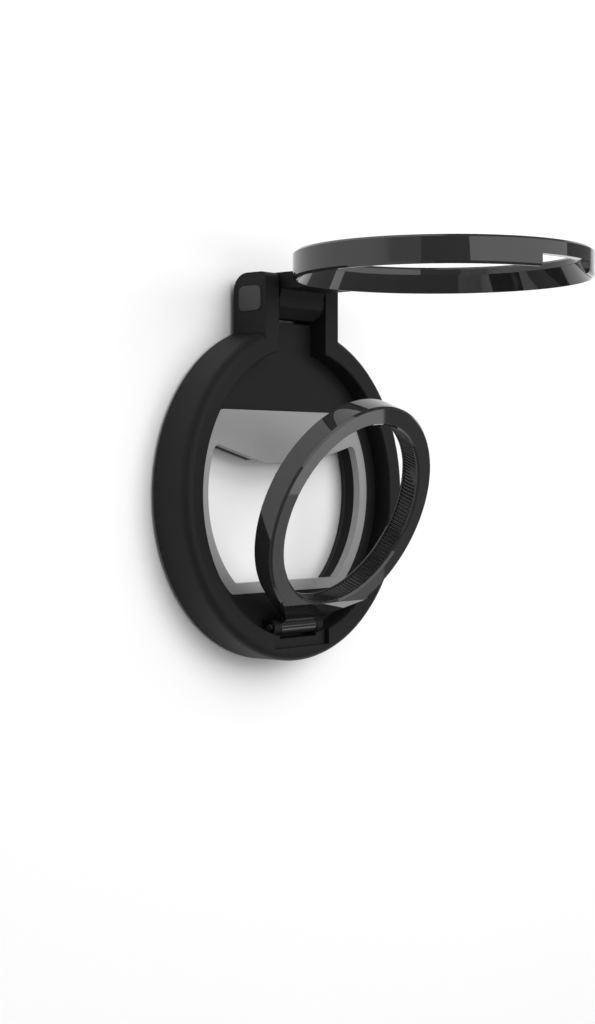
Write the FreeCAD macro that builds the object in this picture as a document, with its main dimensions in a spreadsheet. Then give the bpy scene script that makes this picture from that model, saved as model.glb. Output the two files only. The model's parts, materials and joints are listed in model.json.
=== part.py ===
import FreeCAD, Part
import os
import Sketcher

# Magnetic ring grip: a round magnetic base that carries a large hanging ring and a small finger ring,
# each on its own friction hinge. The origin is the centre of the contact face, +Z points away from
# that face and +Y points to the hinge of the large ring. Both rings are drawn folded flat and then
# turned about their pins to the open angles of the sheet.

SIZES = (
    ("base_radius", 28.1, "outer radius of the base"),
    ("rim_width", 3.9, "width of the rim around the recess"),
    ("recess_depth", 3.5, "depth of the recess that takes the folded rings"),
    ("rim_round", 1.5, "rounding of the outer edge of the rim"),
    ("rim_inner_round", 0.3, "rounding of the inner edge of the rim"),
    ("foot_chamfer", 0.6, "chamfer around the foot of the base"),
    ("floor_web", 1.6, "wall between the magnets and the recess floor"),
    ("seat_gap", 0.05, "gap around a piece that sits in a seat"),
    ("running_gap", 0.3, "gap beside a moving piece"),
    ("pin_fit", 0.03, "radial play of a pin in its bore"),
    ("side_play", 0.05, "side play at each face of a washer"),
    ("shell_wall", 1.1, "wall of the base around the back cover"),
    ("cover_thickness", 1.0, "contact face to the magnets"),
    ("cover_ledge", 0.4, "ledge of the cover beyond the magnets"),
    ("pad_border", 0.8, "border of the cover around the grip pad"),
    ("pad_width", 3.8, "width of the grip pad"),
    ("pad_thickness", 0.6, "depth of the seat of the grip pad"),
    ("pad_proud", 0.1, "height that the pad stands out of the back cover"),
    ("magnet_width", 3.6, "radial width of the magnet arcs"),
    ("magnet_thickness", 1.5, "thickness of the magnet arcs"),
    ("magnet_opening", 40.0, "angle below the finger hinge that has no magnets"),
    ("magnet_spacing", 1.2, "angle between two magnets"),
    ("shield_thickness", 0.4, "thickness of the steel ring behind the magnets"),
    ("plate_border", 2.6, "floor between the rim and the round ends of the window plate"),
    ("plate_top", 13.8, "straight upper edge of the plate above the centre"),
    ("plate_bottom", 16.5, "straight lower edge of the plate below the centre"),
    ("plate_thickness", 1.3, "thickness of the window plate"),
    ("plate_proud", 0.15, "height that the plate stands out of the floor"),
    ("plate_round", 1.5, "rounding of the corners of the plate"),
    ("window_side_band", 2.0, "plate beside the window"),
    ("window_top_band", 5.6, "plate above the upper corners of the window"),
    ("window_low_band", 1.8, "plate below the window"),
    ("window_round", 1.2, "rounding of the corners of the window"),
    ("window_step", 0.6, "step from the window of the plate to the one below it"),
    ("lip_width", 11.0, "width of the lip in the upper edge of the window"),
    ("lip_drop", 3.2, "lip below the upper corners of the window"),
    ("ear_gap", 12.2, "free width between the ears"),
    ("ear_thickness", 3.3, "thickness of one ear"),
    ("ear_wall", 2.3, "ear beyond the bore of the pin"),
    ("ear_back_wall", 1.8, "ear behind the bore of the pin"),
    ("ear_back_round", 3.0, "rounding of the back corner of the ears"),
    ("ear_front_round", 1.0, "rounding of the front corner of the ears"),
    ("hinge_offset", 4.1, "large pin beyond the base"),
    ("hinge_lift", 0.2, "large pin above the recess floor"),
    ("pin_radius", 2.0, "radius of the large pin"),
    ("pin_chamfer", 0.3, "chamfer at the ends of the large pin"),
    ("washer_width", 0.9, "radial width of the large washers"),
    ("washer_thickness", 0.4, "thickness of the large washers"),
    ("knuckle_wall", 1.0, "knuckle around the large pin at its flats"),
    ("arm_thickness", 2.75, "thickness of the arm of the knuckle"),
    ("ring_gap", 0.5, "gap between the rim and the folded large ring"),
    ("ring_lift", 1.85, "folded large ring above the recess floor"),
    ("outer_ring_width", 2.2, "radial width of the large ring"),
    ("outer_ring_depth", 4.3, "axial depth of the large ring"),
    ("flare_width", 1.6, "radial width of the flare in the bore of the large ring"),
    ("flare_depth", 3.0, "axial depth of that flare"),
    ("outer_open_angle", 90.0, "angle that the large ring stands open"),
    ("ring_chamfer", 0.35, "chamfer on the edges of both rings"),
    ("notch_play", 0.2, "room beside the bosses in the notch of the large ring"),
    ("notch_rise", 0.95, "room above the bosses in that notch"),
    ("tang_width", 8.0, "width of the tang that holds the large ring in the arm"),
    ("tang_length", 3.6, "tang beyond the large ring"),
    ("tang_thickness", 1.4, "thickness of the tang"),
    ("ring_spacing", 2.5, "gap between the two folded rings"),
    ("finger_ring_width", 3.2, "radial width of the finger ring"),
    ("finger_ring_depth", 4.1, "axial depth of the finger ring"),
    ("finger_ring_lift", 2.25, "folded finger ring above the recess floor"),
    ("finger_open_angle", 22.5, "angle that the finger ring stands open"),
    ("grip_groove_depth", 0.3, "depth of the groove around the finger bore"),
    ("grip_groove_lip", 0.6, "smooth lip at each side of that groove"),
    ("finger_pin_offset", 0.8, "small pin outside the bore of the large ring"),
    ("finger_pin_radius", 0.7, "radius of the small pin"),
    ("finger_pin_chamfer", 0.15, "chamfer at the ends of the small pin"),
    ("finger_washer_width", 0.47, "radial width of the small washers"),
    ("finger_washer_thickness", 0.2, "thickness of the small washers"),
    ("barrel_wall", 0.6, "barrel around the small pin"),
    ("barrel_lift", 0.2, "barrel above the recess floor"),
    ("barrel_width", 8.8, "width of the barrel and the lug"),
    ("lug_drop", 1.25, "lower edge of the lug below the finger ring"),
    ("slope_reach", 6.5, "small pin to the line where the lug starts to slope"),
    ("lug_thickness", 1.0, "thickness of the arm of the lug"),
    ("boss_length", 1.6, "length of the bosses that carry the small pin"),
    ("relief_play", 2.6, "relief in the rim beside the lug"),
    ("relief_reach", 1.5, "relief into the rim"),
    ("relief_drop", 1.0, "relief below the top of the rim"),
)
MAGNET_COUNT = 16
OVERCUT = "2"

# Sizes and places that several pieces share, worked out from the sheet.
RECESS_RADIUS = "(sizes.base_radius - sizes.rim_width)"
COVER_RADIUS = "(sizes.base_radius - sizes.shell_wall)"
MAGNET_OUTER = "(%s - sizes.cover_ledge)" % COVER_RADIUS
MAGNET_INNER = "(%s - sizes.magnet_width)" % MAGNET_OUTER
MAGNET_TOP = "(sizes.cover_thickness + sizes.magnet_thickness)"
MAGNET_PITCH = "((360 - sizes.magnet_opening) / %d)" % MAGNET_COUNT
SHIELD_TOP = "(%s + sizes.shield_thickness)" % MAGNET_TOP
FLOOR = "(%s + sizes.floor_web)" % SHIELD_TOP
RIM_TOP = "(%s + sizes.recess_depth)" % FLOOR
PAD_OUTER = "(%s - sizes.pad_border)" % COVER_RADIUS
PAD_INNER = "(%s - sizes.pad_width)" % PAD_OUTER
PLATE_TOP = "(%s + sizes.plate_proud)" % FLOOR
PLATE_UNDERSIDE = "(%s - sizes.plate_thickness)" % PLATE_TOP
PLATE_RADIUS = "(%s - sizes.plate_border)" % RECESS_RADIUS

HINGE_Y = "(sizes.base_radius + sizes.hinge_offset)"
HINGE_Z = "(%s + sizes.hinge_lift)" % FLOOR
PIN_BORE = "(sizes.pin_radius + sizes.pin_fit)"
EAR_OUTSIDE = "(sizes.ear_gap / 2 + sizes.ear_thickness)"
EAR_TOP = "(%s + sizes.pin_radius + sizes.ear_wall)" % HINGE_Y
EAR_BACK = "(%s - sizes.pin_radius - sizes.ear_back_wall)" % HINGE_Z
KNUCKLE_REACH = "(sizes.pin_radius + sizes.knuckle_wall)"
KNUCKLE_FLAT = "(%s * tan(22.5))" % KNUCKLE_REACH
KNUCKLE_CORNER = "(%s / cos(22.5))" % KNUCKLE_REACH
KNUCKLE_HALF = "(sizes.ear_gap / 2 - sizes.washer_thickness - 2 * sizes.side_play)"
SLOT_END = "(%s - %s - sizes.running_gap)" % (HINGE_Y, KNUCKLE_CORNER)

OUTER_RING_RADIUS = "(%s - sizes.ring_gap)" % RECESS_RADIUS
OUTER_RING_BORE = "(%s - sizes.outer_ring_width)" % OUTER_RING_RADIUS
OUTER_RING_LOW = "(%s + sizes.ring_lift)" % FLOOR
OUTER_RING_TOP = "(%s + sizes.outer_ring_depth)" % OUTER_RING_LOW
ARM_TOP = "(%s + sizes.arm_thickness)" % OUTER_RING_LOW
TANG_MIDDLE = "(%s + sizes.arm_thickness / 2)" % OUTER_RING_LOW
TANG_END = "(%s + sizes.tang_length)" % OUTER_RING_RADIUS

FINGER_RADIUS = "(%s - sizes.ring_spacing)" % OUTER_RING_BORE
FINGER_BORE = "(%s - sizes.finger_ring_width)" % FINGER_RADIUS
FINGER_MIDDLE = "(%s - sizes.finger_ring_width / 2)" % FINGER_RADIUS
FINGER_LOW = "(%s + sizes.finger_ring_lift)" % FLOOR
FINGER_TOP = "(%s + sizes.finger_ring_depth)" % FINGER_LOW
SMALL_BORE = "(sizes.finger_pin_radius + sizes.pin_fit)"
BARREL_RADIUS = "(sizes.finger_pin_radius + sizes.barrel_wall)"
SMALL_PIN_DROP = "(%s + sizes.finger_pin_offset)" % OUTER_RING_BORE
SMALL_PIN_Y = "(-%s)" % SMALL_PIN_DROP
SMALL_PIN_Z = "(%s + sizes.barrel_lift + %s)" % (FLOOR, BARREL_RADIUS)
BOSS_INSIDE = "(sizes.barrel_width / 2 + sizes.finger_washer_thickness + 2 * sizes.side_play)"
BOSS_OUTSIDE = "(%s + sizes.boss_length)" % BOSS_INSIDE
NOTCH_HALF = "(%s + sizes.notch_play)" % BOSS_OUTSIDE
NOTCH_ROOF = "(%s + %s + sizes.notch_rise)" % (SMALL_PIN_Z, BARREL_RADIUS)
LUG_BOTTOM = "(%s + sizes.lug_drop)" % FINGER_RADIUS
LUG_TANGENT = (
    "(atan(sizes.barrel_width / 2 / {drop}) + acos({radius} / hypot(sizes.barrel_width / 2; {drop})))"
).format(drop=LUG_BOTTOM, radius=FINGER_RADIUS)

doc = FreeCAD.newDocument("ring_grip")
sheet = doc.addObject("Spreadsheet::Sheet", "sizes")
for row, (alias, value, meaning) in enumerate(SIZES, start=1):
    sheet.set("A%d" % row, meaning)
    sheet.set("B%d" % row, str(value))
    sheet.setAlias("B%d" % row, alias)
doc.recompute()
pieces = []


def number(expression):
    """The value that an expression on the sheet has now."""
    return float(sheet.evalExpression(expression))


def bind(item, **expressions):
    """Binds properties of an object to expressions on the sheet."""
    for name, expression in expressions.items():
        item.setExpression(name, expression)


def keep(item, label):
    """Names a finished sub-part, which is then written to its own file."""
    item.Label = label
    pieces.append(item)


def new_body(name):
    return doc.addObject("PartDesign::Body", name + "_body")


def new_sketch(body, name, plane):
    """A sketch on one of the body's own origin planes."""
    sketch = body.newObject("Sketcher::SketchObject", name)
    support = next(item for item in body.Origin.OriginFeatures if item.Role == plane)
    sketch.AttachmentSupport = [(support, "")]
    sketch.MapMode = "FlatFace"
    return sketch


def dimension(sketch, kind, name, expression, *where):
    """A named dimension of a sketch, bound to an expression."""
    index = sketch.addConstraint(Sketcher.Constraint(kind, *where, number(expression)))
    sketch.renameConstraint(index, name)
    sketch.setExpression("Constraints." + name, expression)


def place_point(sketch, name, geometry, end, x, y):
    """Ties one point of a line, arc or circle to a place measured from the sketch's origin."""
    dimension(sketch, "DistanceX", name + "_x", x, -1, 1, geometry, end)
    dimension(sketch, "DistanceY", name + "_y", y, -1, 1, geometry, end)


def polygon(body, name, plane, corners):
    """A closed outline of straight lines through corners given as expressions."""
    sketch = new_sketch(body, name, plane)
    points = [FreeCAD.Vector(number(x), number(y), 0) for x, y in corners]
    count = len(points)
    for index in range(count):
        sketch.addGeometry(Part.LineSegment(points[index], points[(index + 1) % count]))
    for index in range(count):
        sketch.addConstraint(Sketcher.Constraint("Coincident", index, 2, (index + 1) % count, 1))
    for index, (x, y) in enumerate(corners):
        place_point(sketch, "corner%d" % index, index, 1, x, y)
    return sketch


def circles(body, name, plane, *radii, x="0", y="0"):
    """One or more whole circles about one centre."""
    sketch = new_sketch(body, name, plane)
    centre = FreeCAD.Vector(number(x), number(y), 0)
    for index, radius in enumerate(radii):
        sketch.addGeometry(Part.Circle(centre, FreeCAD.Vector(0, 0, 1), number(radius)))
        place_point(sketch, "centre%d" % index, index, 3, x, y)
        dimension(sketch, "Radius", "radius%d" % index, radius, index)
    return sketch


def cut_disc(body, name, radius, low, shoulder, upper=()):
    """A disc cut straight below, and above by straight lines between two shoulders on its circle.

    The upper corners are listed from right to left, and the shoulders have one height.
    """
    sketch = new_sketch(body, name, "XY_Plane")
    size = number(radius)

    def on_circle(height, side):
        return FreeCAD.Vector(side * (size ** 2 - height ** 2) ** 0.5, height, 0)

    top = [on_circle(number(shoulder), 1)]
    top += [FreeCAD.Vector(number(x), number(y), 0) for x, y in upper]
    top.append(on_circle(number(shoulder), -1))
    foot_right = on_circle(-number(low), 1)
    foot_left = on_circle(-number(low), -1)
    sketch.addGeometry(Part.LineSegment(foot_left, foot_right))
    right_arc = sketch.addGeometry(Part.Arc(foot_right, FreeCAD.Vector(size, 0, 0), top[0]))
    for start, end in zip(top, top[1:]):
        left_line = sketch.addGeometry(Part.LineSegment(start, end))
    left_arc = sketch.addGeometry(Part.Arc(top[-1], FreeCAD.Vector(-size, 0, 0), foot_left))
    for index in range(left_arc):
        sketch.addConstraint(Sketcher.Constraint("Coincident", index, 2, index + 1, 1))
    sketch.addConstraint(Sketcher.Constraint("Coincident", left_arc, 2, 0, 1))
    for side, arc in (("right", right_arc), ("left", left_arc)):
        sketch.addConstraint(Sketcher.Constraint("Coincident", arc, 3, -1, 1))
        dimension(sketch, "Radius", side + "_radius", radius, arc)
    sketch.addConstraint(Sketcher.Constraint("Horizontal", 0))
    dimension(sketch, "DistanceY", "foot", "-" + low, -1, 1, 0, 1)
    dimension(sketch, "DistanceY", "right_shoulder", shoulder, -1, 1, right_arc, 2)
    dimension(sketch, "DistanceY", "left_shoulder", shoulder, -1, 1, left_line, 2)
    for index, (x, y) in enumerate(upper):
        place_point(sketch, "edge%d" % index, right_arc + 1 + index, 2, x, y)
    return sketch


def plate_outline(body, name, gap):
    """Outline of the window plate, wider all round by a gap."""
    radius = "(%s + %s)" % (PLATE_RADIUS, gap)
    return cut_disc(body, name, radius, "(sizes.plate_bottom + %s)" % gap, "(sizes.plate_top + %s)" % gap)


def window_outline(body, name, gap):
    """Outline of the window, with the lip in its upper edge, wider all round by a gap."""
    radius = "(%s - sizes.window_side_band + %s)" % (PLATE_RADIUS, gap)
    low = "(sizes.plate_bottom - sizes.window_low_band + %s)" % gap
    shoulder = "(sizes.plate_top - sizes.window_top_band + %s)" % gap
    lip = "(%s - sizes.lip_drop)" % shoulder
    upper = (("sizes.lip_width / 2", lip), ("-sizes.lip_width / 2", lip))
    return cut_disc(body, name, radius, low, shoulder, upper)


def ring_section(inner, outer, low, high):
    """Section of a ring with all four edges chamfered."""
    chamfer = "sizes.ring_chamfer"
    return [
        ("%s + %s" % (inner, chamfer), low),
        ("%s - %s" % (outer, chamfer), low),
        (outer, "%s + %s" % (low, chamfer)),
        (outer, "%s - %s" % (high, chamfer)),
        ("%s - %s" % (outer, chamfer), high),
        ("%s + %s" % (inner, chamfer), high),
        (inner, "%s - %s" % (high, chamfer)),
        (inner, "%s + %s" % (low, chamfer)),
    ]


def box_corners(left, right, low, high):
    return ((left, low), (right, low), (right, high), (left, high))


def revolve(body, kind, sketch, axis="V_Axis"):
    """A full turn of a sketch about one of its own axes, added or cut."""
    feature = body.newObject(kind, sketch.Name + "_turn")
    feature.Profile = sketch
    feature.ReferenceAxis = (sketch, [axis])
    feature.Angle = 360
    doc.recompute()


def across(body, kind, sketch, width):
    """A pad or pocket of the given width, half to each side of the sketch."""
    feature = body.newObject(kind, sketch.Name + "_across")
    feature.Profile = sketch
    feature.SideType = "Symmetric"
    bind(feature, Length=width)
    doc.recompute()


def pad_across(body, sketch, width):
    across(body, "PartDesign::Pad", sketch, width)


def pocket_across(body, sketch, width):
    across(body, "PartDesign::Pocket", sketch, width)


def layer(body, kind, sketch, low, high):
    """A pad or pocket between two heights, from a sketch on the XY plane."""
    feature = body.newObject(kind, sketch.Name + "_layer")
    feature.Profile = sketch
    feature.Reversed = kind.endswith("Pocket")
    bind(feature, Length="(%s) - (%s)" % (high, low))
    sketch.setExpression("AttachmentOffset.Base.z", low)
    doc.recompute()


def round_edges(body, name, radius, wanted):
    """A fillet on the edges of the body so far that a test picks out."""
    base = body.Tip
    edges = enumerate(base.Shape.Edges, start=1)
    picked = ["Edge%d" % index for index, edge in edges if wanted(edge.BoundBox)]
    feature = body.newObject("PartDesign::Fillet", name)
    feature.Base = (base, picked)
    bind(feature, Radius=radius)
    doc.recompute()


def near(a, b):
    return abs(a - b) < 1e-3


def flat_at(box, height):
    """True for the box of an edge that lies level at a height."""
    return near(box.ZMin, height) and near(box.ZMax, height)


def is_upright(box):
    """True for the box of a straight edge along Z."""
    return near(box.XLength, 0) and near(box.YLength, 0)


def open_about_pin(body, angle, pin_y, pin_z):
    """Turns a folded body about a pin along X."""
    body.Placement = FreeCAD.Placement(FreeCAD.Vector(), FreeCAD.Rotation(FreeCAD.Vector(1, 0, 0), 1))
    body.setExpression("Placement.Rotation.Angle", angle)
    turned = {"angle": angle, "y": pin_y, "z": pin_z}
    body.setExpression("Placement.Base.y", "{y} - {y} * cos({angle}) + {z} * sin({angle})".format(**turned))
    body.setExpression("Placement.Base.z", "{z} - {y} * sin({angle}) - {z} * cos({angle})".format(**turned))


def make_pin(name, half, radius, chamfer, y, z):
    """A pin along X with chamfered ends."""
    body = new_body(name)
    corners = (
        ("-(%s)" % half, "0"),
        (half, "0"),
        (half, "%s - %s" % (radius, chamfer)),
        ("%s - %s" % (half, chamfer), radius),
        ("-(%s) + %s" % (half, chamfer), radius),
        ("-(%s)" % half, "%s - %s" % (radius, chamfer)),
    )
    revolve(body, "PartDesign::Revolution", polygon(body, name + "_half", "XZ_Plane", corners), "H_Axis")
    body.setExpression("Placement.Base.y", y)
    body.setExpression("Placement.Base.z", z)
    keep(body, name)


def make_washer(name, side, face, thickness, bore, width, y, z):
    """A flat washer on a pin along X, from its inner face outward on one side."""
    body = new_body(name)
    sketch = circles(body, name + "_face", "YZ_Plane", "%s + %s" % (bore, width), bore, x=y, y=z)
    feature = body.newObject("PartDesign::Pad", name + "_pad")
    feature.Profile = sketch
    feature.Reversed = side < 0
    bind(feature, Length=thickness)
    sketch.setExpression("AttachmentOffset.Base.z", "%d * (%s)" % (side, face))
    doc.recompute()
    keep(body, name)


def make_base_shell():
    """The moulded base: rim, recess, ears, bosses and the seats of all that it holds."""
    body = new_body("base_shell")
    section = (
        ("0", "sizes.pad_proud"),
        ("sizes.base_radius - sizes.foot_chamfer", "sizes.pad_proud"),
        ("sizes.base_radius", "sizes.pad_proud + sizes.foot_chamfer"),
        ("sizes.base_radius", RIM_TOP),
        (RECESS_RADIUS, RIM_TOP),
        (RECESS_RADIUS, FLOOR),
        ("0", FLOOR),
    )
    revolve(body, "PartDesign::Revolution", polygon(body, "shell_section", "XZ_Plane", section))
    rim = number(RIM_TOP)
    for name, radius, fillet in (
        ("rim_edge", "sizes.base_radius", "sizes.rim_round"),
        ("recess_edge", RECESS_RADIUS, "sizes.rim_inner_round"),
    ):
        size = number(radius)
        round_edges(body, name, fillet, lambda box: flat_at(box, rim) and near(box.XMax, size))
    add_ears(body)
    add_finger_bosses(body)
    cut_magnet_seat(body)
    seat = plate_outline(body, "plate_seat", "sizes.seat_gap")
    layer(body, "PartDesign::Pocket", seat, PLATE_UNDERSIDE, RIM_TOP)
    window = window_outline(body, "shell_window", "sizes.window_step")
    layer(body, "PartDesign::Pocket", window, "0", RIM_TOP)
    keep(body, "base_shell")


def add_ears(body):
    """Two ears, level with the rim, beside the slot of the knuckle, with the bore of the large pin."""
    block = box_corners(RECESS_RADIUS, EAR_TOP, EAR_BACK, RIM_TOP)
    pad_across(body, polygon(body, "ear_block", "YZ_Plane", block), "2 * " + EAR_OUTSIDE)
    top = number(EAR_TOP)
    for name, height, fillet in (
        ("ear_back_edge", number(EAR_BACK), "sizes.ear_back_round"),
        ("ear_front_edge", number(RIM_TOP), "sizes.ear_front_round"),
    ):
        round_edges(body, name, fillet, lambda box: flat_at(box, height) and near(box.YMin, top))
    start = "%s - %s" % (RECESS_RADIUS, OVERCUT)
    beyond = "%s + %s" % (EAR_TOP, OVERCUT)
    above = "%s + %s" % (RIM_TOP, OVERCUT)
    below = "%s - %s" % (EAR_BACK, OVERCUT)
    slot = (
        (start, FLOOR),
        (SLOT_END, FLOOR),
        (SLOT_END, below),
        (beyond, below),
        (beyond, above),
        (start, above),
    )
    pocket_across(body, polygon(body, "ear_slot", "YZ_Plane", slot), "sizes.ear_gap")
    bore = circles(body, "pin_bore", "YZ_Plane", PIN_BORE, x=HINGE_Y, y=HINGE_Z)
    pocket_across(body, bore, "2 * %s + %s" % (EAR_OUTSIDE, OVERCUT))


def add_finger_bosses(body):
    """The relief in the rim for the lug, and two bosses on the recess floor for the small pin."""
    outside = "%s - %s" % (SMALL_PIN_Y, BARREL_RADIUS)
    inside = "%s + %s" % (SMALL_PIN_Y, BARREL_RADIUS)
    above = "%s + %s" % (RIM_TOP, OVERCUT)
    wall = "-(%s + sizes.relief_reach)" % RECESS_RADIUS
    relief = box_corners(wall, inside, RIM_TOP + " - sizes.relief_drop", above)
    relief_width = "sizes.barrel_width + 2 * sizes.relief_play"
    pocket_across(body, polygon(body, "rim_relief", "YZ_Plane", relief), relief_width)
    round_top = circles(body, "boss_round", "YZ_Plane", BARREL_RADIUS, x=SMALL_PIN_Y, y=SMALL_PIN_Z)
    pad_across(body, round_top, "2 * " + BOSS_OUTSIDE)
    foot = box_corners(outside, inside, PLATE_UNDERSIDE, SMALL_PIN_Z)
    pad_across(body, polygon(body, "boss_foot", "YZ_Plane", foot), "2 * " + BOSS_OUTSIDE)
    gap = box_corners("-" + RECESS_RADIUS, inside + " + sizes.running_gap", FLOOR, above)
    pocket_across(body, polygon(body, "barrel_gap", "YZ_Plane", gap), "2 * " + BOSS_INSIDE)
    bore = circles(body, "small_bore", "YZ_Plane", SMALL_BORE, x=SMALL_PIN_Y, y=SMALL_PIN_Z)
    pocket_across(body, bore, "2 * " + BOSS_OUTSIDE)


def cut_magnet_seat(body):
    """The seat of the back cover, and above it the groove of the magnets and the steel ring."""
    cover = COVER_RADIUS + " + sizes.seat_gap"
    outer = MAGNET_OUTER + " + sizes.seat_gap"
    inner = MAGNET_INNER + " - sizes.seat_gap"
    ceiling = SHIELD_TOP + " + sizes.seat_gap"
    section = (
        ("0", "0"),
        (cover, "0"),
        (cover, "sizes.cover_thickness"),
        (outer, "sizes.cover_thickness"),
        (outer, ceiling),
        (inner, ceiling),
        (inner, "sizes.cover_thickness"),
        ("0", "sizes.cover_thickness"),
    )
    revolve(body, "PartDesign::Groove", polygon(body, "magnet_seat", "XZ_Plane", section))


def make_back_cover():
    """The round cover behind the magnets, with the window and a seat for the grip pad."""
    body = new_body("back_cover")
    disc = circles(body, "cover_disc", "XY_Plane", COVER_RADIUS)
    layer(body, "PartDesign::Pad", disc, "sizes.pad_proud", "sizes.cover_thickness")
    window = window_outline(body, "cover_window", "sizes.window_step")
    layer(body, "PartDesign::Pocket", window, "0", RIM_TOP)
    outer = PAD_OUTER + " + sizes.seat_gap"
    inner = PAD_INNER + " - sizes.seat_gap"
    seat = circles(body, "pad_seat", "XY_Plane", outer, inner)
    layer(body, "PartDesign::Pocket", seat, "0", "sizes.pad_thickness")
    keep(body, "back_cover")


def make_flat_ring(name, inner, outer, low, high):
    """A plain flat ring about the axis of the base."""
    body = new_body(name)
    layer(body, "PartDesign::Pad", circles(body, name + "_rounds", "XY_Plane", outer, inner), low, high)
    keep(body, name)


def make_magnet(index):
    """One arc magnet of the holding ring, whose opening is below the finger hinge."""
    name = "magnet_%02d" % (index + 1)
    outer = doc.addObject("Part::Cylinder", name + "_outer")
    span = MAGNET_PITCH + " - sizes.magnet_spacing"
    bind(outer, Radius=MAGNET_OUTER, Height="sizes.magnet_thickness", Angle=span)
    inner = doc.addObject("Part::Cylinder", name + "_inner")
    bind(inner, Radius=MAGNET_INNER, Height="sizes.magnet_thickness")
    arc = doc.addObject("Part::Cut", name)
    arc.Base = outer
    arc.Tool = inner
    arc.Placement = FreeCAD.Placement(FreeCAD.Vector(), FreeCAD.Rotation(FreeCAD.Vector(0, 0, 1), 1))
    steps = index - MAGNET_COUNT / 2
    start = "90 + %g * %s + sizes.magnet_spacing / 2" % (steps, MAGNET_PITCH)
    arc.setExpression("Placement.Rotation.Angle", start)
    arc.setExpression("Placement.Base.z", "sizes.cover_thickness")
    keep(arc, name)


def make_window_plate():
    """The satin metal plate let into the recess floor, with its shaped window."""
    body = new_body("window_plate")
    layer(body, "PartDesign::Pad", plate_outline(body, "plate_outline", "0"), PLATE_UNDERSIDE, PLATE_TOP)
    round_edges(body, "plate_corners", "sizes.plate_round", is_upright)
    layer(body, "PartDesign::Pocket", window_outline(body, "plate_window", "0"), PLATE_UNDERSIDE, RIM_TOP)
    reach = number(PLATE_RADIUS) - number("sizes.window_side_band / 2")

    def is_window_corner(box):
        return is_upright(box) and (box.XMax ** 2 + box.YMax ** 2) ** 0.5 < reach

    round_edges(body, "window_corners", "sizes.window_round", is_window_corner)
    keep(body, "window_plate")


def make_knuckle():
    """The eight-sided knuckle between the ears, with the arm that grips the tang of the large ring."""
    body = new_body("hinge_knuckle")
    far, flat = KNUCKLE_REACH, KNUCKLE_FLAT
    quarter = ((far, flat), (flat, far))
    turns = list(quarter) + [("-" + y, z) for y, z in reversed(quarter)]
    turns += [("-" + y, "-" + z) for y, z in quarter] + [(y, "-" + z) for y, z in reversed(quarter)]
    sides = [("%s + %s" % (HINGE_Y, y), "%s + %s" % (HINGE_Z, z)) for y, z in turns]
    pad_across(body, polygon(body, "knuckle_sides", "YZ_Plane", sides), "2 * " + KNUCKLE_HALF)
    arm = (
        (OUTER_RING_BORE, OUTER_RING_LOW),
        (SLOT_END, OUTER_RING_LOW),
        ("%s - %s" % (HINGE_Y, far), HINGE_Z),
        ("%s + %s" % (HINGE_Y, flat), HINGE_Z),
        ("%s + %s" % (HINGE_Y, flat), "%s + %s" % (HINGE_Z, far)),
        ("%s - %s" % (HINGE_Y, flat), ARM_TOP),
        (OUTER_RING_BORE, ARM_TOP),
    )
    pad_across(body, polygon(body, "knuckle_arm", "YZ_Plane", arm), "2 * " + KNUCKLE_HALF)
    saddle = circles(body, "ring_saddle", "XY_Plane", OUTER_RING_RADIUS + " + sizes.seat_gap")
    layer(body, "PartDesign::Pocket", saddle, "0", "%s + %s" % (ARM_TOP, OVERCUT))
    half = "(sizes.tang_thickness / 2 + sizes.seat_gap)"
    slot = box_corners(
        OUTER_RING_BORE,
        TANG_END + " + sizes.seat_gap",
        "%s - %s" % (TANG_MIDDLE, half),
        "%s + %s" % (TANG_MIDDLE, half),
    )
    pocket_across(body, polygon(body, "tang_slot", "YZ_Plane", slot), "sizes.tang_width + 2 * sizes.seat_gap")
    bore = circles(body, "knuckle_bore", "YZ_Plane", PIN_BORE, x=HINGE_Y, y=HINGE_Z)
    pocket_across(body, bore, "sizes.ear_gap")
    open_about_pin(body, "-sizes.outer_open_angle", HINGE_Y, HINGE_Z)
    keep(body, "hinge_knuckle")


def make_outer_ring():
    """The large polished ring: flared bore, tang into the knuckle's arm and notch at its free end."""
    body = new_body("outer_ring")
    section = ring_section(OUTER_RING_BORE, OUTER_RING_RADIUS, OUTER_RING_LOW, OUTER_RING_TOP)
    section[0] = (OUTER_RING_BORE + " + sizes.flare_width", OUTER_RING_LOW)
    section[-1] = (OUTER_RING_BORE, OUTER_RING_LOW + " + sizes.flare_depth")
    revolve(body, "PartDesign::Revolution", polygon(body, "outer_section", "XZ_Plane", section))
    tang = box_corners(
        OUTER_RING_RADIUS + " - sizes.outer_ring_width / 3",
        TANG_END,
        TANG_MIDDLE + " - sizes.tang_thickness / 2",
        TANG_MIDDLE + " + sizes.tang_thickness / 2",
    )
    pad_across(body, polygon(body, "ring_tang", "YZ_Plane", tang), "sizes.tang_width")
    notch = box_corners(
        "-%s - %s" % (OUTER_RING_RADIUS, OVERCUT),
        "-%s + %s" % (OUTER_RING_BORE, OVERCUT),
        "%s - %s" % (OUTER_RING_LOW, OVERCUT),
        NOTCH_ROOF,
    )
    pocket_across(body, polygon(body, "ring_notch", "YZ_Plane", notch), "2 * " + NOTCH_HALF)
    open_about_pin(body, "-sizes.outer_open_angle", HINGE_Y, HINGE_Z)
    keep(body, "outer_ring")


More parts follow.
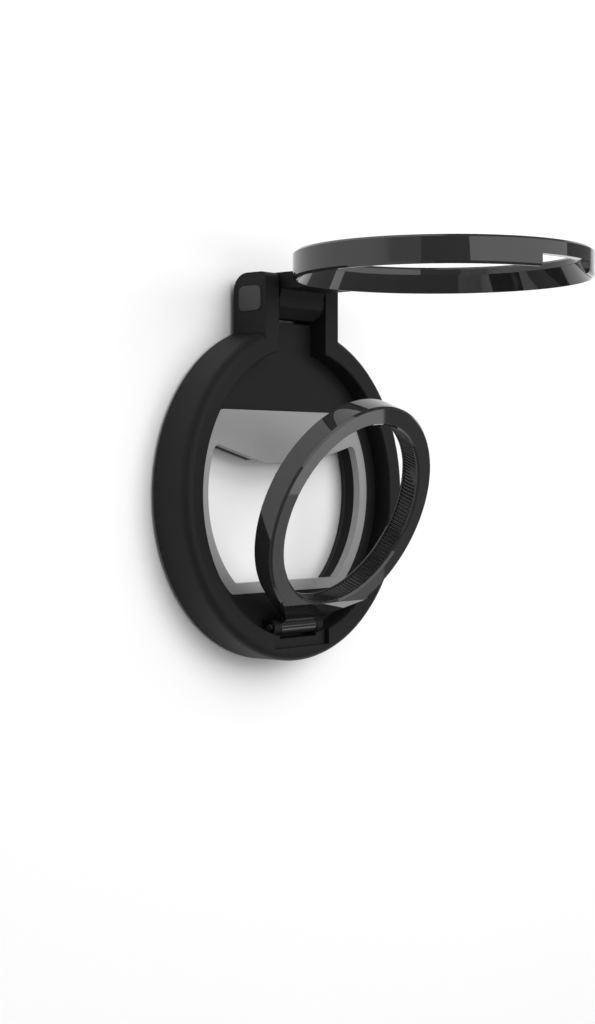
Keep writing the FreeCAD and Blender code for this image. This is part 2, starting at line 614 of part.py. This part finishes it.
def make_finger_ring():
    """The finger ring: grooved bore, sloping lug with straight flanks, and the barrel on the small pin."""
    body = new_body("finger_ring")
    section = ring_section(FINGER_BORE, FINGER_RADIUS, FINGER_LOW, FINGER_TOP)
    groove_high = FINGER_TOP + " - sizes.grip_groove_lip"
    groove_low = FINGER_LOW + " + sizes.grip_groove_lip"
    groove_radius = FINGER_BORE + " + sizes.grip_groove_depth"
    section[-1:-1] = [
        (FINGER_BORE, groove_high),
        (groove_radius, groove_high),
        (groove_radius, groove_low),
        (FINGER_BORE, groove_low),
    ]
    revolve(body, "PartDesign::Revolution", polygon(body, "finger_section", "XZ_Plane", section))
    add_lug(body)
    barrel = circles(body, "barrel_round", "YZ_Plane", BARREL_RADIUS, x=SMALL_PIN_Y, y=SMALL_PIN_Z)
    pad_across(body, barrel, "sizes.barrel_width")
    bore = circles(body, "barrel_bore", "YZ_Plane", SMALL_BORE, x=SMALL_PIN_Y, y=SMALL_PIN_Z)
    pocket_across(body, bore, "sizes.barrel_width + " + OVERCUT)
    open_about_pin(body, "sizes.finger_open_angle", SMALL_PIN_Y, SMALL_PIN_Z)
    keep(body, "finger_ring")


def add_lug(body):
    """The lug: straight flanks that leave the ring as tangents, an arm to the pin and a sloping front."""

    def on_flank(radius, side):
        return ("%s%s * sin(%s)" % (side, radius, LUG_TANGENT), "-%s * cos(%s)" % (radius, LUG_TANGENT))

    half = "sizes.barrel_width / 2"
    outline = (
        ("-" + half, "-" + LUG_BOTTOM),
        (half, "-" + LUG_BOTTOM),
        on_flank(FINGER_RADIUS, ""),
        on_flank(FINGER_MIDDLE, ""),
        ("0", "-" + FINGER_MIDDLE),
        on_flank(FINGER_MIDDLE, "-"),
        on_flank(FINGER_RADIUS, "-"),
    )
    layer(body, "PartDesign::Pad", polygon(body, "lug_flanks", "XY_Plane", outline), FINGER_LOW, FINGER_TOP)
    rise = "((%s - %s) / sizes.slope_reach)" % (FINGER_TOP, SMALL_PIN_Z)
    inner_y = "-" + FINGER_MIDDLE
    inner_z = "(%s + (%s - %s) * %s)" % (SMALL_PIN_Z, SMALL_PIN_DROP, FINGER_MIDDLE, rise)
    arm = (
        (SMALL_PIN_Y, "%s - sizes.lug_thickness" % SMALL_PIN_Z),
        (inner_y, "%s - sizes.lug_thickness" % inner_z),
        (inner_y, inner_z),
        (SMALL_PIN_Y, SMALL_PIN_Z),
    )
    pad_across(body, polygon(body, "lug_arm", "YZ_Plane", arm), "sizes.barrel_width")
    bend = SMALL_PIN_Y + " + sizes.slope_reach"
    above = "%s + %s" % (FINGER_TOP, OVERCUT)
    slope = ((SMALL_PIN_Y, SMALL_PIN_Z), (bend, FINGER_TOP), (bend, above), (SMALL_PIN_Y, above))
    pocket_across(body, polygon(body, "lug_slope", "YZ_Plane", slope), "2 * " + FINGER_RADIUS)


def make_hinge_hardware():
    """The two pins, and the washers beside the knuckle and beside the barrel."""
    make_pin("outer_hinge_pin", EAR_OUTSIDE, "sizes.pin_radius", "sizes.pin_chamfer", HINGE_Y, HINGE_Z)
    small_half = BOSS_OUTSIDE + " - sizes.seat_gap"
    small_end = "sizes.finger_pin_chamfer"
    make_pin("finger_hinge_pin", small_half, "sizes.finger_pin_radius", small_end, SMALL_PIN_Y, SMALL_PIN_Z)
    for side, end in ((-1, "left"), (1, "right")):
        face = KNUCKLE_HALF + " + sizes.side_play"
        size = ("sizes.washer_thickness", PIN_BORE, "sizes.washer_width")
        make_washer("outer_washer_" + end, side, face, *size, HINGE_Y, HINGE_Z)
        face = "sizes.barrel_width / 2 + sizes.side_play"
        size = ("sizes.finger_washer_thickness", SMALL_BORE, "sizes.finger_washer_width")
        make_washer("finger_washer_" + end, side, face, *size, SMALL_PIN_Y, SMALL_PIN_Z)


def check_and_write():
    """Stops on any failed object, then writes each sub-part to its own file."""
    doc.recompute()
    for item in doc.Objects:
        if "Invalid" in item.State or "Error" in item.State:
            raise RuntimeError("failed object: " + item.Name)
    for piece in pieces:
        if piece.Shape.isNull() or not piece.Shape.isValid():
            raise RuntimeError("bad shape: " + piece.Label)
    os.makedirs("parts", exist_ok=True)
    for piece in pieces:
        piece.Shape.exportStep("parts/%s.step" % piece.Label)


make_base_shell()
make_back_cover()
make_flat_ring("grip_pad", PAD_INNER, PAD_OUTER, "0", "sizes.pad_thickness - sizes.seat_gap")
make_flat_ring("shield_ring", MAGNET_INNER, MAGNET_OUTER, MAGNET_TOP, SHIELD_TOP)
for magnet_index in range(MAGNET_COUNT):
    make_magnet(magnet_index)
make_window_plate()
make_knuckle()
make_outer_ring()
make_finger_ring()
make_hinge_hardware()
check_and_write()
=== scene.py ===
"""Finishes, ribbed finger bore, pin caps and studio of a magnetic ring grip.

Lengths are in metres in the part's own frame: the contact face is z = 0, the axis of the round
base is Z, and the big hinge stands on the +Y side.
"""

import json
import math

import bmesh
import bpy
import numpy as np
from mathutils import Matrix, Vector


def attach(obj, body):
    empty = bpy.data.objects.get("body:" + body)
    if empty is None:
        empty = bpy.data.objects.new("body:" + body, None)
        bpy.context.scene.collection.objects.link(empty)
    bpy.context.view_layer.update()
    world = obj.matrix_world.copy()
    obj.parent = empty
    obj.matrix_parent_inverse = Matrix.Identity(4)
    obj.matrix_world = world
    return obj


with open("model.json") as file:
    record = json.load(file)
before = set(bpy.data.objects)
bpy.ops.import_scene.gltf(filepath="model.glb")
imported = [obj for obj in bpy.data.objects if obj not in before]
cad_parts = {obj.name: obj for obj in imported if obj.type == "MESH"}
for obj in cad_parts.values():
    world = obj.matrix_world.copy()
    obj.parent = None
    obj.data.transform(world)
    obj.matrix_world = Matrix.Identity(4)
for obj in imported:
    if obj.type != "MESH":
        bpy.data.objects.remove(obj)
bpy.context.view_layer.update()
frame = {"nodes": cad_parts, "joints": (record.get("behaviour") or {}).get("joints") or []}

MM = 0.001

# Camera: it looks across the base from the -X side, with the big hinge at the top of the picture
IMAGE_WIDTH, IMAGE_HEIGHT = 595, 1024
CAMERA_PLACE = Vector((-241.3, 3.3, 211.0)) * MM
CAMERA_DIP = math.radians(40.23)
LENS_MM, SENSOR_MM = 66.14, 36.0
NEAREST, FARTHEST = 0.01, 10.0
AXIS_ABOVE_MIDDLE_PX = 38.5
FOCAL_PX = LENS_MM / SENSOR_MM * max(IMAGE_WIDTH, IMAGE_HEIGHT)

# Edges of a new piece that turn by more than this stay sharp, and points closer than this are one
SHARP_ANGLE = math.radians(40)
SAME_POINT = 0.001 * MM

# Ribbed band in the groove of the finger bore
GROOVE_LIP, GROOVE_DEPTH, GROOVE_PLAY = 0.60 * MM, 0.30 * MM, 0.05 * MM
RIB_CREST_SET_BACK = 0.03 * MM
RIB_HEIGHT = 0.23 * MM
RIB_COUNT = 156
RIB_STEPS = 10
RIB_FLANK = 1.6

# Caps on the ends of the big pin
CAP_HALF_HEIGHT, CAP_HALF_DEPTH = 2.12 * MM, 2.48 * MM
CAP_SHIFT_BACK = 0.12 * MM
CAP_PROUD, CAP_EDGE, CAP_SUNK = 0.22 * MM, 0.20 * MM, 0.30 * MM
CAP_POWER = 4.5
CAP_STEPS, CAP_EDGE_STEPS = 96, 7

# Studio
FLOOR_RADIUS, SWEEP_RADIUS, WALL_HEIGHT = 0.75, 0.30, 0.42
SWEEP_STEPS, SWEEP_BEND_STEPS = 96, 13
FLOOR_COLOUR, FLOOR_ROUGHNESS = (0.92, 0.92, 0.92, 1.0), 0.9
WHITE = (1.0, 1.0, 1.0, 1.0)
WORLD_LEVEL = 0.20
LAMP_FACTOR = 4.0
AIM = Vector((0.0, 0.0, 15.0)) * MM
TOP_DIRECTION, TOP_DISTANCE = Vector((0.16, 0.15, 0.97)), 0.70
TOP_SIZE, TOP_LEVEL = (0.96, 0.90), 1.1
SKY_DIRECTION, SKY_DISTANCE = Vector((0.10, 0.55, 0.83)), 0.70
SKY_SIZE, SKY_LEVEL = (0.90, 0.70), 1.6

# The front face of the finger ring mirrors the key lamp left of this column and above this row, and
# the dimmer fill lamp below the row
KEY_EDGE_COLUMN_PX, KEY_EDGE_ROW_PX = 384.0, 494.5
FACE_LAMP_DISTANCE = 1.0
KEY_SIZE, KEY_LEVEL = (0.11, 0.11), 1.25
FILL_SIZE, FILL_LEVEL = (0.11, 0.09), 0.42

JOINTS = {joint["name"]: joint for joint in frame["joints"]}

# Middle of a noise, and samples of a rounded edge
MIDDLE = 0.5
EDGE_SAMPLES = 6

# Places of the colour sockets among those of a Mix node
MIX_FACTOR, MIX_FIRST, MIX_SECOND, MIX_RESULT = 0, 6, 7, 2


def grid_mesh(name, points, wrap_rows=False, wrap_columns=False):
    """Mesh of a grid of points, rows x columns x 3: one quad between each four neighbours, and also
    between the last and the first row or column where that direction is closed."""
    index = np.arange(points.shape[0] * points.shape[1]).reshape(points.shape[:2])
    if wrap_rows:
        index = np.vstack([index, index[:1]])
    if wrap_columns:
        index = np.hstack([index, index[:, :1]])
    corners = [index[:-1, :-1], index[1:, :-1], index[1:, 1:], index[:-1, 1:]]
    quads = np.stack(corners, axis=-1).reshape(-1, 4)
    mesh = bpy.data.meshes.new(name)
    mesh.from_pydata(points.reshape(-1, 3).tolist(), [], quads.tolist())
    mesh.shade_smooth()
    return mesh


def close_poles(mesh):
    """Joins the points that meet in a pole and turns all faces outwards."""
    shape = bmesh.new()
    shape.from_mesh(mesh)
    bmesh.ops.remove_doubles(shape, verts=shape.verts, dist=SAME_POINT)
    bmesh.ops.recalc_face_normals(shape, faces=shape.faces)
    shape.to_mesh(mesh)
    shape.free()


def add_object(name, mesh, material):
    """New object at the origin, with its place in its mesh."""
    piece = bpy.data.objects.new(name, mesh)
    mesh.materials.append(material)
    bpy.context.scene.collection.objects.link(piece)
    return piece


def fold_to_rest(joint_name):
    """Turn that brings a piece from folded flat in the base to its place at rest: about the joint's
    axis, by as much as the joint's lower limit lies below its rest."""
    joint = JOINTS[joint_name]
    pivot = Matrix.Translation(joint["pos_m"])
    turn = Matrix.Rotation(-math.radians(joint["range_deg"][0]), 4, joint["axis"])
    return pivot @ turn @ pivot.inverted()


def carried(points, matrix):
    """The points moved by a 4 x 4 matrix, all at once."""
    turn = np.array(matrix)
    return points @ turn[:3, :3].T + turn[:3, 3]


class Link:
    """An output socket of a finish. Arithmetic on it adds the Math node that does it."""

    def __init__(self, finish, socket):
        self.finish = finish
        self.socket = socket

    def maths(self, operation, first, second):
        return self.finish.add("ShaderNodeMath", {"operation": operation}, {0: first, 1: second})

    def __add__(self, other):
        return self.maths("ADD", self, other)

    def __sub__(self, other):
        return self.maths("SUBTRACT", self, other)

    def __rsub__(self, other):
        return self.maths("SUBTRACT", other, self)

    def __mul__(self, other):
        return self.maths("MULTIPLY", self, other)

    __radd__ = __add__
    __rmul__ = __mul__


class Finish:
    """A material in the making: its main shader, and the one way of adding nodes to it."""

    def __init__(self, name, **plain_values):
        self.material = bpy.data.materials.new(name)
        self.material.use_nodes = True
        self.nodes = self.material.node_tree.nodes
        self.links = self.material.node_tree.links
        self.shader = self.nodes["Principled BSDF"]
        self.feed(self.shader, {key.replace("_", " "): value for key, value in plain_values.items()})

    def feed(self, node, sockets):
        """Sets or links each named or numbered input of a node."""
        for key, value in sockets.items():
            if isinstance(value, Link):
                self.links.new(value.socket, node.inputs[key])
            else:
                node.inputs[key].default_value = value

    def add(self, kind, settings=None, sockets=None, output=0):
        """New node of that type: its settings first, then the values or links of its sockets."""
        node = self.nodes.new(kind)
        for key, value in (settings or {}).items():
            setattr(node, key, value)
        self.feed(node, sockets or {})
        return Link(self, node.outputs[output])

    def paint(self, **sockets):
        """Links what varies over the surface to the main shader."""
        self.feed(self.shader, {key.replace("_", " "): value for key, value in sockets.items()})
        return self.material

    def place(self):
        """The point on the surface, in the part's frame."""
        return self.add("ShaderNodeTexCoord", output="Object")

    def noise(self, size, detail=2.0, stretch=(1.0, 1.0, 1.0)):
        """Soft noise from 0 to 1 with lumps about as large as size, longer along a stretched axis."""
        scale = tuple(1.0 / part for part in stretch)
        point = self.add("ShaderNodeMapping", None, {"Vector": self.place(), "Scale": scale})
        sockets = {"Vector": point, "Scale": 1.0 / size, "Detail": detail}
        return self.add("ShaderNodeTexNoise", None, sockets)

    def between(self, factor, first, second):
        """Colour from first to second as factor goes from 0 to 1."""
        ends = {MIX_FACTOR: factor, MIX_FIRST: (*first, 1.0), MIX_SECOND: (*second, 1.0)}
        return self.add("ShaderNodeMix", {"data_type": "RGBA"}, ends, MIX_RESULT)

    def soft_edges(self, radius):
        """Surface direction with every edge rounded by that radius."""
        return self.add("ShaderNodeBevel", {"samples": EDGE_SAMPLES}, {"Radius": radius})

    def bumped(self, height, depth, normal):
        """Surface direction with a relief of that depth on top of the given one."""
        sockets = {"Height": height, "Distance": depth, "Normal": normal}
        return self.add("ShaderNodeBump", None, sockets)


def matte_black():
    """Black moulded shell with a fine spark-eroded grain."""
    finish = Finish("matte_black", Specular_IOR_Level=0.13)
    grain = finish.noise(0.22 * MM, 1.0)
    cloud = finish.noise(6 * MM, 3.0)
    return finish.paint(
        Base_Color=finish.between(cloud, (0.0118, 0.0118, 0.0122), (0.0150, 0.0150, 0.0155)),
        Roughness=0.50 + 0.14 * (grain - MIDDLE) + 0.08 * (cloud - MIDDLE),
        Normal=finish.bumped(grain, 0.012 * MM, finish.soft_edges(0.18 * MM)),
    )


def gunmetal():
    """Dark polished plating with faint wipe marks."""
    finish = Finish("gunmetal", Metallic=0.65)
    wipe = finish.noise(5 * MM, 3.0, (1.0, 3.0, 3.0))
    speck = finish.noise(0.5 * MM, 2.0)
    return finish.paint(
        Base_Color=finish.between(wipe, (0.052, 0.052, 0.054), (0.062, 0.062, 0.064)),
        Roughness=0.012 + 0.014 * wipe + 0.006 * speck,
        Normal=finish.soft_edges(0.10 * MM),
    )


def satin_plate():
    """Bead-blasted light metal."""
    finish = Finish("satin_plate", Metallic=0.35)
    bead = finish.noise(0.16 * MM, 1.0)
    cloud = finish.noise(8 * MM, 2.0)
    return finish.paint(
        Base_Color=finish.between(cloud, (0.31, 0.31, 0.313), (0.35, 0.35, 0.353)),
        Roughness=0.40 + 0.10 * (bead - MIDDLE) + 0.05 * (cloud - MIDDLE),
        Normal=finish.bumped(bead, 0.006 * MM, finish.soft_edges(0.12 * MM)),
    )


def dark_pin():
    """Satin dark metal with fine marks."""
    finish = Finish("dark_pin", Metallic=0.6)
    mark = finish.noise(0.25 * MM, 2.0)
    return finish.paint(
        Base_Color=finish.between(mark, (0.042, 0.042, 0.044), (0.058, 0.058, 0.060)),
        Roughness=0.38 + 0.10 * (mark - MIDDLE),
        Normal=finish.soft_edges(0.20 * MM),
    )


def plain_grain(name, dark, light, rough, metal, grain_size, depth):
    """Finish of a piece that is mostly covered: two close colours and a fine relief."""
    finish = Finish(name, Metallic=metal)
    grain = finish.noise(grain_size, 2.0)
    return finish.paint(
        Base_Color=finish.between(grain, dark, light),
        Roughness=rough + 0.10 * (grain - MIDDLE),
        Normal=finish.bumped(grain, depth, finish.soft_edges(0.08 * MM)),
    )


def finishes():
    """One material for each slot of the record."""
    return {
        "matte_black": matte_black(),
        "gunmetal": gunmetal(),
        "satin_plate": satin_plate(),
        "dark_pin": dark_pin(),
        "back_black": plain_grain(
            "back_black", (0.016,) * 3, (0.022,) * 3,
            rough=0.60, metal=0.0, grain_size=0.3 * MM, depth=0.012 * MM,
        ),
        "grip_rubber": plain_grain(
            "grip_rubber", (0.026,) * 3, (0.034,) * 3,
            rough=0.78, metal=0.0, grain_size=0.18 * MM, depth=0.02 * MM,
        ),
        "steel": plain_grain(
            "steel", (0.42,) * 3, (0.50,) * 3,
            rough=0.32, metal=1.0, grain_size=0.2 * MM, depth=0.004 * MM,
        ),
        "washer_black": plain_grain(
            "washer_black", (0.017,) * 3, (0.023,) * 3,
            rough=0.35, metal=0.0, grain_size=0.2 * MM, depth=0.004 * MM,
        ),
        "magnet_nickel": plain_grain(
            "magnet_nickel", (0.58, 0.57, 0.55), (0.64, 0.63, 0.61),
            rough=0.22, metal=1.0, grain_size=0.3 * MM, depth=0.003 * MM,
        ),
    }


def dress_nodes(materials):
    """Gives every solid the finish of its slot."""
    for node in frame["nodes"].values():
        slot = node.data.materials[0].name
        node.data.materials[0] = materials[slot]


def node_points(node):
    """Places of all points of a solid's mesh."""
    places = np.empty(3 * len(node.data.vertices))
    node.data.vertices.foreach_get("co", places)
    return places.reshape(-1, 3)


def folded_bore(node, opening):
    """Bore radius, underside and front of a ring when it is folded flat about the axis of the base,
    read from the half of it that lies away from its lug."""
    folded = carried(node_points(node), opening.inverted())
    plain = folded[folded[:, 1] > 0]
    return np.hypot(plain[:, 0], plain[:, 1]).min(), plain[:, 2].min(), plain[:, 2].max()


def rib_band(material):
    """Ribbed band of the finger bore: a ring whose inner radius goes from root to crest once per rib,
    as a steep cosine of the angle cut off flat at both ends, between two flat sides and a plain back.
    It is shaped with the finger ring folded flat, where the groove lies about the axis of the base."""
    opening = fold_to_rest("finger_hinge")
    bore, low, high = folded_bore(frame["nodes"]["finger_ring"], opening)
    low, high = low + GROOVE_LIP + GROOVE_PLAY, high - GROOVE_LIP - GROOVE_PLAY
    angle = np.linspace(0.0, 2 * math.pi, RIB_COUNT * RIB_STEPS, endpoint=False)
    crest = np.clip(0.5 + 0.5 * RIB_FLANK * np.cos(RIB_COUNT * angle), 0.0, 1.0)
    inner = bore + RIB_CREST_SET_BACK + RIB_HEIGHT * (1 - crest)
    back = np.full_like(angle, bore + GROOVE_DEPTH + GROOVE_PLAY)
    radius = np.stack([inner, back, back, inner], axis=1)
    height = np.broadcast_to([low, low, high, high], radius.shape)
    turn = angle[:, None]
    folded = np.stack([radius * np.cos(turn), radius * np.sin(turn), height], axis=-1)
    rest = carried(folded, opening)
    mesh = grid_mesh("finger_ring_ribs", rest, wrap_rows=True, wrap_columns=True)
    mesh.set_sharp_from_angle(angle=SHARP_ANGLE)
    band = add_object("finger_ring_ribs", mesh, material)
    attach(band, "finger_grip")


def pin_caps(material):
    """Caps on both ends of the big pin. Along X their outline is a rounded rectangle, where the powers
    of y / half height and of z / half depth add up to 1. It is the same from the sunk back to the edge,
    draws in by a quarter circle where the edge turns into the face, and closes in the middle."""
    pin = node_points(frame["nodes"]["outer_hinge_pin"])
    low, high = pin.min(axis=0), pin.max(axis=0)
    reach = high[0]
    middle_y, middle_z = (low + high)[1:] / 2 - [0.0, CAP_SHIFT_BACK]
    bend = np.linspace(0.0, math.pi / 2, CAP_EDGE_STEPS)
    draw_in = CAP_EDGE * (1 - np.cos(bend))
    tall = np.concatenate([[0.0, CAP_HALF_HEIGHT], CAP_HALF_HEIGHT - draw_in, [0.0]])[:, None]
    deep = np.concatenate([[0.0, CAP_HALF_DEPTH], CAP_HALF_DEPTH - draw_in, [0.0]])[:, None]
    rise = CAP_PROUD - CAP_EDGE * (1 - np.sin(bend))
    out = reach + np.concatenate([[-CAP_SUNK, -CAP_SUNK], rise, [CAP_PROUD]])[:, None]
    angle = np.linspace(0.0, 2 * math.pi, CAP_STEPS, endpoint=False)
    outline_y, outline_z = (
        np.sign(wave) * np.abs(wave) ** (2 / CAP_POWER) for wave in (np.cos(angle), np.sin(angle))
    )
    for name, side in (("hinge_cap_left", -1), ("hinge_cap_right", 1)):
        places = side * out, middle_y + tall * outline_y, middle_z + deep * outline_z
        mesh = grid_mesh(name, np.stack(np.broadcast_arrays(*places), axis=-1), wrap_columns=True)
        close_poles(mesh)
        mesh.set_sharp_from_angle(angle=SHARP_ANGLE)
        cap = add_object(name, mesh, material)
        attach(cap, "base")


def studio_sweep():
    """Pale floor that curves up into a wall on the camera's side: a flat disc, a quarter circle and a
    straight wall, turned about Z, whose height falls with the cosine of the angle from -X to nothing."""
    bend = np.linspace(0.0, math.pi / 2, SWEEP_BEND_STEPS)
    radius = np.concatenate([[0.0], FLOOR_RADIUS + SWEEP_RADIUS * np.sin(bend)])
    height = np.concatenate([[0.0], SWEEP_RADIUS * (1 - np.cos(bend))])
    radius = np.append(radius, radius[-1])
    height = np.append(height, WALL_HEIGHT)
    angle = np.linspace(0.0, 2 * math.pi, SWEEP_STEPS, endpoint=False)[:, None]
    rising = height * np.clip(-np.cos(angle), 0.0, 1.0)
    points = np.stack(
        np.broadcast_arrays(radius * np.cos(angle), radius * np.sin(angle), rising), axis=-1
    )
    finish = Finish("studio_pale", Roughness=FLOOR_ROUGHNESS, Specular_IOR_Level=0.0)
    finish.paint(Base_Color=FLOOR_COLOUR)
    mesh = grid_mesh("studio_sweep", points, wrap_rows=True)
    add_object("studio_sweep", mesh, finish.material)


def softbox(name, place, turn, size, level, mirrored=True, diffuse=True):
    """Flat lamp that shines along its own -Z. Level is the brightness of its face, 1 for white. It can
    be left out of mirror images, or show in them alone."""
    light = bpy.data.lights.new(name, "AREA")
    light.shape = "RECTANGLE"
    light.size, light.size_y = size
    light.energy = level * LAMP_FACTOR * size[0] * size[1]
    lamp = bpy.data.objects.new(name, light)
    lamp.matrix_world = Matrix.LocRotScale(place, turn, None)
    lamp.visible_camera = False
    lamp.visible_glossy = mirrored
    lamp.visible_diffuse = diffuse
    bpy.context.scene.collection.objects.link(lamp)


def face_lights():
    """Softboxes for the front face of the finger ring, the key and under it the fill. The camera is
    mirrored in that face, and the lamps stand square in the mirrored view, with their right edges on a
    column of it and with a row of it between them."""
    opening = fold_to_rest("finger_hinge")
    front = folded_bore(frame["nodes"]["finger_ring"], opening)[2]
    on_face = Matrix.Translation(opening @ Vector((0.0, 0.0, front)))
    flip = Matrix.Scale(-1.0, 4, opening.to_3x3() @ Vector((0.0, 0.0, 1.0)))
    mirrored = on_face @ flip @ on_face.inverted() @ camera_matrix()
    right, up, back, eye = (column.to_3d() for column in mirrored.col)
    axis_row = IMAGE_HEIGHT / 2 - AXIS_ABOVE_MIDDLE_PX
    edge_across = (KEY_EDGE_COLUMN_PX - IMAGE_WIDTH / 2) / FOCAL_PX * FACE_LAMP_DISTANCE
    edge_above = (axis_row - KEY_EDGE_ROW_PX) / FOCAL_PX * FACE_LAMP_DISTANCE
    turn = Matrix((right, up, -back)).transposed().to_quaternion()
    for name, size, level, side in (
        ("key_light", KEY_SIZE, KEY_LEVEL, 1),
        ("fill_light", FILL_SIZE, FILL_LEVEL, -1),
    ):
        across = edge_across - size[0] / 2
        above = edge_above + side * size[1] / 2
        place = eye - FACE_LAMP_DISTANCE * back + across * right + above * up
        softbox(name, place, turn, size, level, diffuse=False)


def studio_light():
    """Dim surroundings, the lamps of the finger ring's face, a wide soft lamp overhead and soft light
    from the hinge side."""
    world = bpy.data.worlds.new("studio")
    world.use_nodes = True
    background = world.node_tree.nodes["Background"]
    background.inputs["Color"].default_value = WHITE
    background.inputs["Strength"].default_value = WORLD_LEVEL
    bpy.context.scene.world = world
    face_lights()
    for name, direction, distance, size, level, mirrored in (
        ("top_light", TOP_DIRECTION, TOP_DISTANCE, TOP_SIZE, TOP_LEVEL, True),
        ("sky_light", SKY_DIRECTION, SKY_DISTANCE, SKY_SIZE, SKY_LEVEL, False),
    ):
        towards = direction.normalized()
        turn = towards.to_track_quat("Z", "Y")
        softbox(name, AIM + distance * towards, turn, size, level, mirrored)


def camera_matrix():
    """Place and turn of the camera, which is level with Y and dipped towards the base."""
    back = Vector((-math.cos(CAMERA_DIP), 0.0, math.sin(CAMERA_DIP)))
    up = Vector((0.0, 1.0, 0.0))
    turn = Matrix((up.cross(back), up, back)).transposed()
    return Matrix.Translation(CAMERA_PLACE) @ turn.to_4x4()


def photo_camera():
    """Camera with its optical axis above the picture's middle."""
    data = bpy.data.cameras.new("photo_camera")
    data.sensor_width, data.lens = SENSOR_MM, LENS_MM
    data.shift_y = -AXIS_ABOVE_MIDDLE_PX / max(IMAGE_WIDTH, IMAGE_HEIGHT)
    data.clip_start, data.clip_end = NEAREST, FARTHEST
    camera = bpy.data.objects.new("photo_camera", data)
    camera.matrix_world = camera_matrix()
    bpy.context.scene.collection.objects.link(camera)
    bpy.context.scene.camera = camera


materials = finishes()
dress_nodes(materials)
rib_band(materials["gunmetal"])
pin_caps(materials["dark_pin"])
studio_sweep()
studio_light()
photo_camera()
bpy.context.scene.view_settings.view_transform = "Standard"
